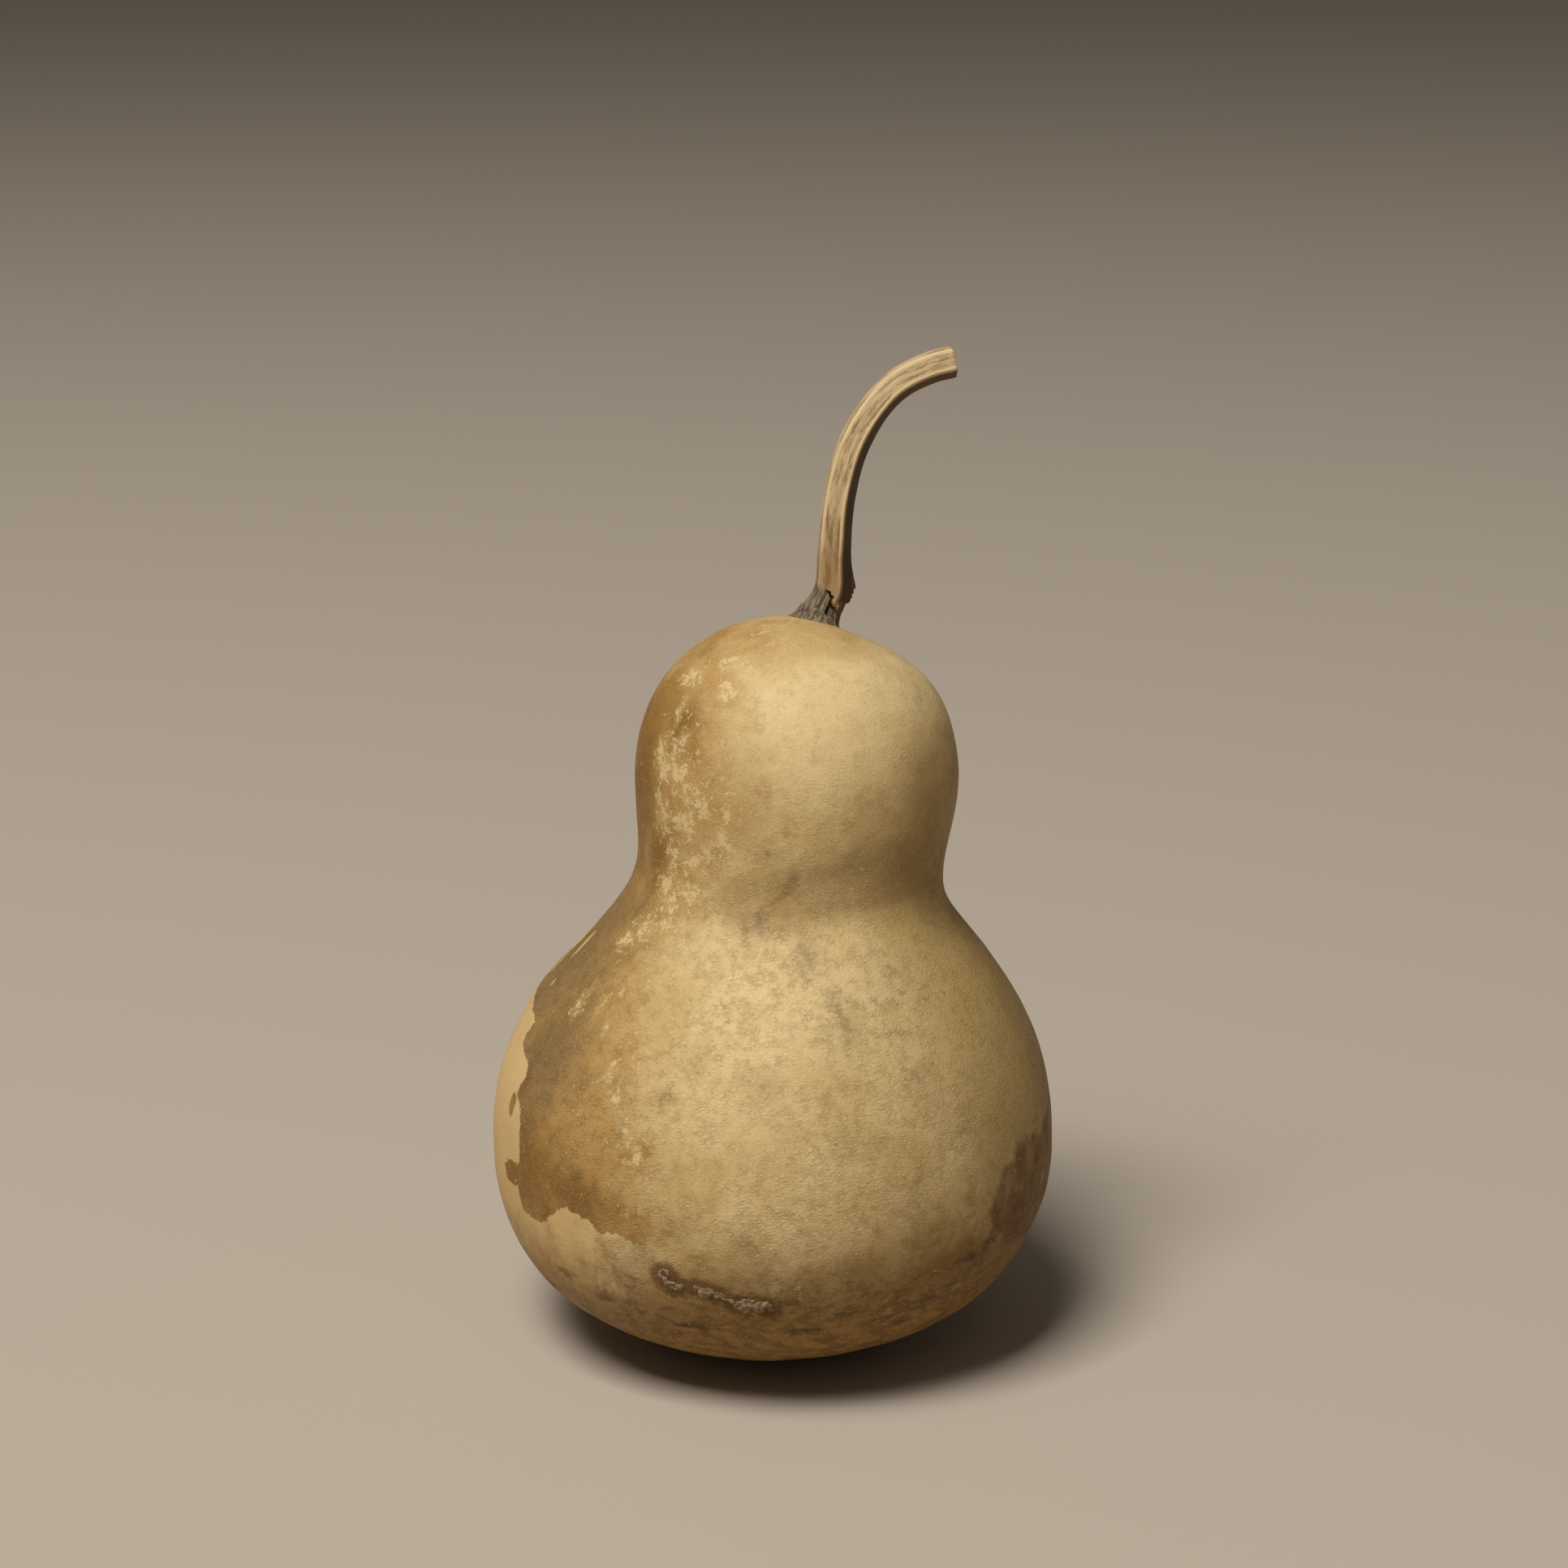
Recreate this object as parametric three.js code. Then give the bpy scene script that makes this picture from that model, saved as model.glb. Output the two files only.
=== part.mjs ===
// A dried bottle gourd: the hard dry fruit, and the ribbed woody stem that curves up from its crown.
// Millimetres, +Z up. The origin is the middle of the small flat spot that the gourd rests on, and
// its front faces -Y.

import * as THREE from 'three';

// The fruit as if it had grown straight: [radius, height up the centre line], from the blossom end
// through the belly, the waist and the shoulder to the crown.
const FRUIT_OUTLINE = [
  [0, 0],
  [14.2, 0.9],
  [28.4, 5.4],
  [48.2, 15.5],
  [57.4, 29.4],
  [60, 46.4],
  [56.5, 63.4],
  [49.3, 77.3],
  [39.9, 88.9],
  [33.5, 97.4],
  [31.9, 105.2],
  [33, 114.5],
  [33.8, 125.3],
  [31.4, 136.1],
  [25.5, 145.4],
  [16.2, 151.6],
  [5.8, 154.2],
  [0, 154.7],
];
const FRUIT_SIDES = 40;
const RINGS_PER_SPAN = 2; // from one outline point to the next

// The stem as if it had grown straight: [radius, height above the crown], from its flared foot to
// its cut tip.
const STEM_OUTLINE = [
  [5.4, 0.4],
  [4.2, 1.4],
  [3.8, 2.8],
  [3.7, 5],
  [3.7, 8],
  [3.5, 12],
  [3.3, 20],
  [3.2, 34],
  [3.1, 50],
  [3.2, 66.3],
];
const STEM_RINGS = 38;
const RIB_COUNT = 5;
const SIDES_PER_RIB = 6;
const RIB_HEIGHT = 0.09; // share of the stem's radius
const RIB_TURN = 25; // degrees from the front, towards +X, to the first rib
const FOOT_HEIGHT = 6; // over which the stem's foot follows the crown
const FOOT_GAP = 0.35; // between the stem's foot and the crown
const UNDERSIDE_RINGS = [0, 0.35, 0.7, 0.96]; // shares of the foot's radius
const CUT_END_RINGS = [0.5, 0]; // shares of the tip's radius

// The line that the gourd grew along: up through the fruit to the crown, then through the stem.
const FRUIT_LINE = [
  [-1, 6, -1],
  [-0.7, 4.8, 18.3],
  [0, 4.1, 37.6],
  [1.8, 3.8, 56.9],
  [3.1, 4.2, 76.1],
  [3.8, 5.2, 95.4],
  [5.1, 7, 114.6],
  [7, 9.6, 133.7],
  [9.7, 13.2, 152.5],
];
const STEM_LINE = [
  [10.8, 13.8, 154.9],
  [12, 14.1, 157.3],
  [12.9, 14.3, 159.9],
  [13.2, 14.4, 167.5],
  [14.2, 14.5, 178.5],
  [17.7, 15, 190.8],
  [25.2, 16, 201.2],
  [33, 17, 205.4],
  [38.6, 17.7, 206.7],
];

const LINE_DIVISIONS = 600; // for measuring distance along the line

const skinMaterial = new THREE.MeshStandardMaterial({ color: '#b8965a', roughness: 0.55, metalness: 0 });
const stemMaterial = new THREE.MeshStandardMaterial({ color: '#a08a66', roughness: 0.85, metalness: 0 });

const centreLine = new THREE.CatmullRomCurve3(
  [...FRUIT_LINE, ...STEM_LINE].map(([x, y, z]) => new THREE.Vector3(x, y, z)),
);
centreLine.arcLengthDivisions = LINE_DIVISIONS;

// The points of a smooth outline through [radius, height] pairs.
function smoothOutline(pairs, steps) {
  const curve = new THREE.SplineCurve(pairs.map(([radius, height]) => new THREE.Vector2(radius, height)));
  return curve.getPoints(steps);
}

// A lathed solid standing on +Z, whose first side is at the front.
function uprightLathe(outline, sides) {
  const geometry = new THREE.LatheGeometry(outline, sides);
  geometry.rotateX(Math.PI / 2);
  return geometry;
}

// Moves each vertex of a geometry to where move(vertex) leaves it.
function moveVertices(geometry, move) {
  const position = geometry.attributes.position;
  const vertex = new THREE.Vector3();
  for (let index = 0; index < position.count; index += 1) {
    vertex.fromBufferAttribute(position, index);
    move(vertex);
    position.setXYZ(index, vertex.x, vertex.y, vertex.z);
  }
  geometry.computeVertexNormals();
}

// Carries a point of the straight gourd to its place round the centre line. Its height becomes the
// distance along the line, and its X stays level.
function bendToCentreLine(vertex) {
  const share = vertex.z / centreLine.getLength();
  const forward = centreLine.getTangentAt(share);
  const sideways = new THREE.Vector3(0, 1, 0).cross(forward).normalize();
  const backwards = new THREE.Vector3().crossVectors(forward, sideways);
  const { x, y } = vertex;
  vertex.copy(centreLine.getPointAt(share));
  vertex.addScaledVector(sideways, x);
  vertex.addScaledVector(backwards, y);
}

const fruitOutline = smoothOutline(FRUIT_OUTLINE, (FRUIT_OUTLINE.length - 1) * RINGS_PER_SPAN);
const crown = fruitOutline.at(-1);

// The height of the straight fruit's surface at a distance from the centre line, near the crown.
function crownHeight(distance) {
  const outer = fruitOutline.findLastIndex((point) => point.x >= distance);
  if (outer === fruitOutline.length - 1) {
    return crown.y;
  }
  const [low, high] = [fruitOutline[outer], fruitOutline[outer + 1]];
  return THREE.MathUtils.mapLinear(distance, low.x, high.x, low.y, high.y);
}

// Draws the stem's surface in and out to make its ribs.
function raiseRibs(vertex) {
  const turn = Math.atan2(vertex.x, -vertex.y) - THREE.MathUtils.degToRad(RIB_TURN);
  const swell = 1 + RIB_HEIGHT * Math.cos(RIB_COUNT * turn);
  vertex.x *= swell;
  vertex.y *= swell;
}

// Sets the stem on the crown, with the low part of its foot following the crown's slope.
function setOnCrown(vertex) {
  const distance = Math.hypot(vertex.x, vertex.y);
  const follow = Math.max(0, 1 - vertex.z / FOOT_HEIGHT);
  vertex.z += crown.y + FOOT_GAP - follow * (crown.y - crownHeight(distance));
}

// The fruit rests on a small flat spot: nothing of it lies below the surface that it stands on.
function restOnFlatSpot(vertex) {
  vertex.z = Math.max(vertex.z, 0);
}

function makeFruit() {
  const geometry = uprightLathe(fruitOutline, FRUIT_SIDES);
  moveVertices(geometry, (vertex) => {
    bendToCentreLine(vertex);
    restOnFlatSpot(vertex);
  });
  const fruit = new THREE.Mesh(geometry, skinMaterial);
  fruit.name = 'gourd_body';
  return fruit;
}

function makeStem() {
  const wall = smoothOutline(STEM_OUTLINE, STEM_RINGS);
  const foot = wall[0];
  const tip = wall.at(-1);
  const underside = UNDERSIDE_RINGS.map((share) => new THREE.Vector2(foot.x * share, 0));
  const cutEnd = CUT_END_RINGS.map((share) => new THREE.Vector2(tip.x * share, tip.y));
  const geometry = uprightLathe([...underside, ...wall, ...cutEnd], RIB_COUNT * SIDES_PER_RIB);
  moveVertices(geometry, (vertex) => {
    raiseRibs(vertex);
    setOnCrown(vertex);
    bendToCentreLine(vertex);
  });
  const stem = new THREE.Mesh(geometry, stemMaterial);
  stem.name = 'stem';
  return stem;
}

const gourd = new THREE.Group();
gourd.add(makeFruit(), makeStem());

export default gourd;
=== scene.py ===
"""A dried bottle gourd: its blotched leathery fruit, its corky scabs and its ribbed woody stem.

Lengths are in metres. A place on the fruit is given as a turn, in degrees from the front towards
+X, and a height in millimetres. A place on the stem is a turn and a height above the crown.
"""

import math
import random
from types import SimpleNamespace

import bmesh
import bpy
import numpy as np
from mathutils import Matrix, Vector, noise
from mathutils.bvhtree import BVHTree


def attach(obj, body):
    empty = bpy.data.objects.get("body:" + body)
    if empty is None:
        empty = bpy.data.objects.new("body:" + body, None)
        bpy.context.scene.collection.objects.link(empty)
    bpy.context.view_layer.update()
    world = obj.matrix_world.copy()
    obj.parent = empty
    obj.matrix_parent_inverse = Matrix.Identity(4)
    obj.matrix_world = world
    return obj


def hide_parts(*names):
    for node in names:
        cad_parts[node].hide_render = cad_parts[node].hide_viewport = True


bl_info = {
    "name": "Dried Gourd",
    "version": (1, 0, 0),
    "blender": (4, 5, 0),
    "location": "View3D > Sidebar > Gourd",
    "description": "Makes a dried bottle gourd: its fruit, its scabs and its stem",
    "category": "Add Mesh",
}

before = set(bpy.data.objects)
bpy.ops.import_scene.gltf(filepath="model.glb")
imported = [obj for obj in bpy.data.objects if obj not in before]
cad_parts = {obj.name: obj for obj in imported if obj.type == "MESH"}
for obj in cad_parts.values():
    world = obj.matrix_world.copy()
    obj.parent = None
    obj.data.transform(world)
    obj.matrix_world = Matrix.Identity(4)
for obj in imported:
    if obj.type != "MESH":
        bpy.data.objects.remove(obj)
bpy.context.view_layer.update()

MM = 0.001

# The upright line that turns on the fruit are measured round.
FRUIT_AXIS = (3 * MM, 6 * MM)

# The ochre stained skin: its soft right edge from the crown down, then its crisp lower and left
# edges, where the outer skin has peeled, and its faded edge round the back to the crown.
STAIN_SOFT_EDGE = [
    (-20, 153), (-27, 145), (-30, 140), (-25, 131), (-19, 126), (-14, 121), (-22, 114),
    (-30, 109), (-36, 102), (-37, 96), (-41, 89), (-36, 83), (-33, 75), (-31, 68),
    (-28, 61), (-26, 56), (-27, 48), (-22, 44), (-22, 39.5),
]
STAIN_LOW_CORNER = (-27, 38.5)  # where the soft edge turns into the crisp one
STAIN_CRISP_EDGE = [
    (-33, 40), (-36, 39), (-39, 41.5), (-45, 42.4), (-51, 39), (-53, 36.4), (-57, 36),
    (-60, 37), (-61, 42.5), (-63, 41), (-67, 41.2), (-68, 44), (-66, 46), (-61, 46.5),
    (-61, 53.5), (-62, 57), (-66, 60), (-64, 63.5), (-66, 66), (-69, 67), (-74, 68),
    (-73, 72.5), (-82, 73.5), (-92, 74), (-104, 79),
]
STAIN_BACK_EDGE = [(-116, 82), (-124, 92), (-132, 104), (-138, 118), (-134, 136), (-112, 152)]
# The dark patch low on the right.
DARK_PATCH = [
    (80, 54), (67, 50), (59, 51.5), (55, 51), (54, 49), (50, 48), (48, 46), (47, 43), (46, 39.5),
    (49, 35), (53, 31), (62, 29), (74, 28), (86, 31), (95, 37), (98, 45), (91, 52),
]
# Flecks where the stained skin has flaked to pale cream. These and the spots below are each a
# turn, a height, and half the spot's width and height in millimetres.
FLECKS = [
    (-58, 130, 3, 5), (-52, 128, 5, 4), (-45, 127, 4, 3), (-38, 124, 5, 3), (-33, 121, 3, 5),
    (-40, 117, 4, 5), (-54, 118, 3, 5), (-47, 110, 3, 3), (-38, 110, 4, 3), (-30, 112, 3, 4),
    (-24, 116, 3, 3), (-48, 103.5, 3.6, 6.4), (-44, 100, 1.8, 2.6), (-22, 122, 1.2, 4),
    (-36, 104, 3, 2), (-57, 92, 3, 2.2), (-51, 94.5, 4.4, 2.4), (-43, 97, 4, 1.6),
    (-34, 94, 1.6, 1.2), (-39, 70, 1.2, 2.8), (-36, 66.5, 1.6, 2.4), (-32, 61, 2, 2.4),
    (-29, 57, 1, 2.4), (-17, 144, 1.8, 1.4), (-36, 149, 4, 1.6), (-24, 148.6, 3, 1.2),
    (-30, 144, 3, 2), (-58, 80, 1.6, 3), (-50, 81, 1.4, 2.6), (-45, 78, 1, 2),
    (-54, 139, 1.4, 3.6), (-60, 145, 4, 2), (-46, 134, 2, 2),
    (150, 112, 5, 3), (165, 124, 3, 5), (-150, 128, 4, 3), (-158, 58, 3, 2),
]
# Crisp slivers on the left shoulder where the outer skin has come away.
SLIVERS = [(-82, 86.3, 0.9, 2.8), (-94, 84.5, 2.4, 4.2), (-91, 79.6, 0.8, 2.2), (-79, 79, 0.5, 0.9)]
# Where the clean skin is palest: partly its own pale tone and partly a painted highlight.
PALE_AND_HIGHLIGHT_SPOTS = [(20, 136, 18, 14), (2, 140, 12, 9), (4, 79, 22, 10), (-10, 66, 16, 14), (34, 74, 14, 10)]
# Brown islands left on the peeled skin.
ISLANDS = [(-67, 57, 1.5, 2.6), (-70, 52, 0.8, 0.8)]
# Where the stain is dull olive, and where it is deep ochre.
OLIVE_SPOTS = [(-80, 84, 24, 22), (-60, 72, 14, 16), (-120, 118, 20, 16)]
DEEP_SPOTS = [
    (-58, 47, 19, 17), (-42, 45, 15, 8), (-64, 64, 6, 12), (-56, 108, 8, 12), (-76, 126, 14, 28),
    (-50, 136, 8, 8),
]
# Soft grey-brown bruises, and small dark specks.
BRUISES = [
    (-6, 113, 6, 4), (2, 107, 9, 3.4), (-4, 103, 10, 5), (24, 110, 18, 4.6), (46, 108, 20, 7),
    (8, 92.5, 7, 6), (-8, 98, 8, 6), (16, 82, 8, 9), (30, 88, 8, 7), (12, 62, 6, 5),
    (30, 70, 6, 6), (-4, 72, 5, 5), (120, 96, 14, 9),
    (-140, 98, 12, 7), (175, 108, 9, 6), (140, 62, 8, 8), (-20, 44, 6, 5), (24, 46, 9, 6),
]
SPECKS = [
    (0.5, 105.4, 1.4, 0.7), (3.6, 108, 0.6, 1), (-6, 113.4, 0.8, 0.8), (14, 83.5, 0.9, 0.7),
    (13, 85.6, 0.6, 0.9), (15, 79, 0.8, 0.8), (10, 60.8, 0.9, 0.6), (30, 100, 0.5, 0.5),
    (160, 70, 0.8, 0.8), (-130, 60, 0.7, 0.7),
]
# Faint dark lines, where the skin has crackled.
DARK_LINES = [
    [(-12, 98), (-5, 102.5), (0, 105), (2.5, 107), (4, 110)],
    [(6, 95), (8, 92.5)],
    [(12, 87), (14, 84), (15, 79)],
    [(58, 44), (57, 41), (54, 38)],
]
# Broad soft brown spots, part own colour and part painted shade, in the waist, far right and back.
BROWN_AND_SHADE_SPOTS = [
    (48, 107, 26, 9), (12, 105, 22, 6), (20, 108, 12, 4), (-6, 103, 16, 7), (72, 116, 18, 22),
    (92, 60, 26, 56), (56, 30, 34, 12), (150, 104, 30, 10), (-160, 60, 30, 40),
]
# Dark mottles low on the front, most of them on the right.
MOTTLES = [
    (31, 23.5, 4.4, 1.4), (27, 19, 5, 1.2), (37, 25.4, 2.4, 1), (20, 21, 3, 1), (12, 24, 3, 1),
    (4, 20, 5, 1), (40, 31.5, 5, 1.6), (46, 33.5, 3, 1.5), (-38, 23.7, 4, 1.6),
    (-48, 26.5, 3.4, 1.6), (-20, 20, 5, 1.2),
]
# The corky scabs: crooked lines of beads, each corner a turn, a height and half the line's width,
# and the broad blobs among them, each a turn, a height and a radius.
SCAB_BEADS = [
    [(-24, 32.3, 0.2), (-23.9, 33.2, 0.2), (-23.2, 33.6, 0.2), (-22.5, 33.3, 0.2), (-22.3, 32.5, 0.2),
     (-22.8, 31.7, 0.2), (-23.5, 31.5, 0.2), (-24, 32.3, 0.2)],
    [(-23.3, 31.4, 0.4), (-22.6, 30.5, 0.7), (-21.4, 30, 0.6), (-20.4, 30.1, 0.4), (-19.6, 30.3, 0.2)],
    [(-17, 30.3, 0.5), (-15.6, 30.2, 0.4), (-14.2, 29.8, 0.5), (-12.9, 29.2, 0.8), (-11.8, 28.6, 0.6),
     (-10.6, 27.9, 0.2), (-9.8, 27.5, 0.3)],
    [(-9.8, 27.3, 0.6), (-8.6, 27.6, 0.7), (-7, 27.9, 0.4), (-5.4, 27.7, 0.4)],
    [(-9.4, 26.6, 0.4), (-8.6, 26, 0.4)],
    [(-3.6, 27.6, 0.4), (-2.7, 27.1, 0.4)],
    [(-2.9, 26.1, 0.3), (-2.3, 26, 0.3)],
]
SCAB_BLOBS = [
    (-22.6, 30.8, 0.8), (-15.7, 29.3, 1.3), (-14.4, 29.4, 0.8), (-7.7, 26.4, 1.6), (-6.4, 27, 1.1),
    (-4.9, 26.7, 1.5), (-3.9, 27.3, 0.8),
]
# Darkened skin that trails off from the scabs.
SCAB_TRAILS = [(-1.6, 28.6, 3, 1.1), (0.6, 27.4, 3, 0.9), (-18.4, 30.4, 1.6, 0.6), (-6, 28.8, 3, 0.8)]

# The line that the gourd grew along, in millimetres: up through the fruit and out along the stem.
CENTRE_LINE = [
    (-1, 6, -1), (-0.7, 4.8, 18.3), (0, 4.1, 37.6), (1.8, 3.8, 56.9), (3.1, 4.2, 76.1),
    (3.8, 5.2, 95.4), (5.1, 7, 114.6), (7, 9.6, 133.7), (9.7, 13.2, 152.5), (10.8, 13.8, 154.9),
    (12, 14.1, 157.3), (12.9, 14.3, 159.9), (13.2, 14.4, 167.5), (14.2, 14.5, 178.5),
    (17.7, 15, 190.8), (25.2, 16, 201.2), (33, 17, 205.4), (38.6, 17.7, 206.7),
]
CROWN = 155.05  # how far along that line the stem starts
# The stem's radius at heights above the crown, in millimetres.
STEM_OUTLINE = [
    (5.9, 0), (5, 0.5), (4.3, 1.4), (3.85, 2.8), (3.7, 5), (3.7, 8), (3.5, 12), (3.3, 20),
    (3.2, 34), (3.1, 50), (3.2, 66.3),
]
RIB_TURN = 22  # degrees from the front to the stem's first rib
RIB_COUNT = 5
# The ragged lower edge of the stem's rind: turn and height.
RIND_EDGE = [
    (-130, 7.3), (-100, 8.5), (-60, 8.8), (-30, 7.4), (-17, 7.1), (-6, 6.9), (3, 6.3), (12, 6.2),
    (15, 4.7), (25, 4.3), (36, 4.3), (45, 3.9), (50, 4.9), (64, 5.3), (80, 5.5), (87, 6),
    (92, 7.8), (104, 8.4), (125, 8), (150, 6.8), (170, 7.2), (200, 6.4), (230, 7.3),
]
CRACK = RIND_EDGE[4:12]  # the part of that edge that gapes
HOLLOW = [(15, 4.6), (13, 3.4), (15, 2.2)]  # where the crack opens downwards

# Fields of the fruit's mesh that are made of spots alone.
SPOT_FIELDS = {
    "fleck": FLECKS, "sliver": SLIVERS, "pale": PALE_AND_HIGHLIGHT_SPOTS, "island": ISLANDS, "dull": OLIVE_SPOTS,
    "deep": DEEP_SPOTS, "bruise": BRUISES, "shade": BROWN_AND_SHADE_SPOTS, "speck": SPECKS, "mottle": MOTTLES,
}
DEEPEST = 20  # millimetres from a patch's edge, past which its field stays the same
PEEL_STEP = 0.07 * MM  # how thick the peeled and flaked skin is
LINE_STEPS = 60  # to each span of the centre line
OUTLINE_STEPS = 20  # to each span of the stem's outline



def linear(hex_colour):
    """An sRGB colour such as "c8a060" as the linear values that a shader takes."""
    levels = [int(hex_colour[i:i + 2], 16) / 255 for i in (0, 2, 4)]
    return tuple(v / 12.92 if v <= 0.04045 else ((v + 0.055) / 1.055) ** 2.4 for v in levels)


def colour_setting(name, description, hex_colour):
    return bpy.props.FloatVectorProperty(
        name=name, description=description, default=linear(hex_colour), subtype="COLOR",
        size=3, min=0, max=1)


def length_setting(name, description, default):
    return bpy.props.FloatProperty(
        name=name, description=description, default=default, unit="LENGTH", min=0, precision=5)


class GourdFruitSettings(bpy.types.PropertyGroup):
    tan: colour_setting("Tan", "The clean dry skin", "ccae70")
    # Pale tan is also the painted highlight on the bulb and the upper belly.
    pale_tan: colour_setting("Pale tan", "Where the dry skin is lightest", "e2c690")
    olive: colour_setting("Olive", "Where the dry skin is dullest", "b2935d")
    # Painted shade: the dry skin darkened down the right, away from the light, and under the belly.
    painted_shade: colour_setting("Dim olive", "The dry skin down the right and under the belly", "a5884f")
    peeled: colour_setting("Peeled", "The smooth skin where the outer skin has come off", "cfaa70")
    stain: colour_setting("Stain", "The stained outer skin", "ac8246")
    deep_stain: colour_setting("Deep stain", "The stained skin at its darkest", "7c500c")
    dull_stain: colour_setting("Dull stain", "The stained skin where it is olive", "6c5029")
    fleck: colour_setting("Fleck", "Flaked spots in the stained skin", "dec18b")
    bruise: colour_setting("Bruise", "Grey-brown bruises", "7a5f39")
    # The brown under the belly and in the dark patch, also the colour of the painted shade in the waist
    # and down the right.
    bottom_brown_and_shade: colour_setting("Bottom brown", "Mottling under the belly", "70470c")
    halo: colour_setting("Scab rim", "The darkened skin round the scabs", "573714")
    # Crust is also the painted highlight on the scabs' lumps.
    crust: colour_setting("Crust", "The corky scabs", "a69273")
    crust_brown: colour_setting("Crust brown", "The duller parts of the scabs", "6b5130")
    # Crust shadow: painted shade in the scabs' pits, and the skin's own mottles, specks, lines and patch
    # rim.
    crust_dark: colour_setting("Crust shadow", "Pits and rims of the scabs", "3a2814")
    dent_depth: length_setting("Dent depth", "Depth of the broad soft dents", 0.00035)
    wrinkle_depth: length_setting("Wrinkle depth", "Depth of the leathery wrinkles", 0.00009)
    crust_height: length_setting("Crust height", "How far the scabs stand proud", 0.00042)


class GourdStemSettings(bpy.types.PropertyGroup):
    ridge: colour_setting("Ridge", "The pale ribs", "dcc293")
    furrow: colour_setting("Furrow", "The fibrous hollows between the ribs", "ccb384")
    furrow_dark: colour_setting("Furrow shadow", "Dark fibres in the hollows", "8a6a44")
    warm: colour_setting("Warm brown", "The rind just above the foot", "866338")
    foot: colour_setting("Foot", "The dark woody foot", "968268")
    # Foot shadow is also the painted shade on the stem's right faces and the painted shadow in its
    # crack.
    foot_dark: colour_setting("Foot shadow", "Cracks and hollows of the foot", "38291a")
    rind_depth: length_setting("Rind depth", "How thick the rind is at its broken edge", 0.00038)
    fibre_depth: length_setting("Fibre depth", "Depth of the fine lengthwise grain", 0.00007)


class GourdStageSettings(bpy.types.PropertyGroup):
    floor: colour_setting("Floor", "The plain floor", "b6a897")
    key_power: bpy.props.FloatProperty(
        name="Key light", description="Power of the soft main light", default=112, unit="POWER")
    fill_power: bpy.props.FloatProperty(
        name="Surround", description="Strength of the even surrounding light", default=0.12)
    lens: bpy.props.FloatProperty(
        name="Lens", description="Focal length of the camera", default=85, subtype="DISTANCE_CAMERA")
    elevation: bpy.props.FloatProperty(
        name="Elevation", description="How far the camera looks down", default=math.radians(15),
        subtype="ANGLE")


class Wire:
    """A shader socket that can be used in arithmetic. Each operator adds a Math node."""

    def __init__(self, shader, socket):
        self.shader = shader
        self.socket = socket

    def math(self, operation, *values):
        inputs = dict(enumerate(values))
        return self.shader.node("ShaderNodeMath", {"operation": operation}, inputs)

    def __add__(self, other):
        return self.math("ADD", self, other)

    def __sub__(self, other):
        return self.math("SUBTRACT", self, other)

    def __rsub__(self, other):
        return self.math("SUBTRACT", other, self)

    def __mul__(self, other):
        return self.math("MULTIPLY", self, other)

    def __abs__(self):
        return self.math("ABSOLUTE", self)

    __radd__ = __add__
    __rmul__ = __mul__

    def at_least(self, other):
        return self.math("MAXIMUM", self, other)

    def rise(self, low, high):
        """0 below low and 1 above high, with a smooth step between."""
        return self.shader.node(
            "ShaderNodeMapRange", {"interpolation_type": "SMOOTHSTEP"},
            {"Value": self, "From Min": low, "From Max": high})


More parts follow.
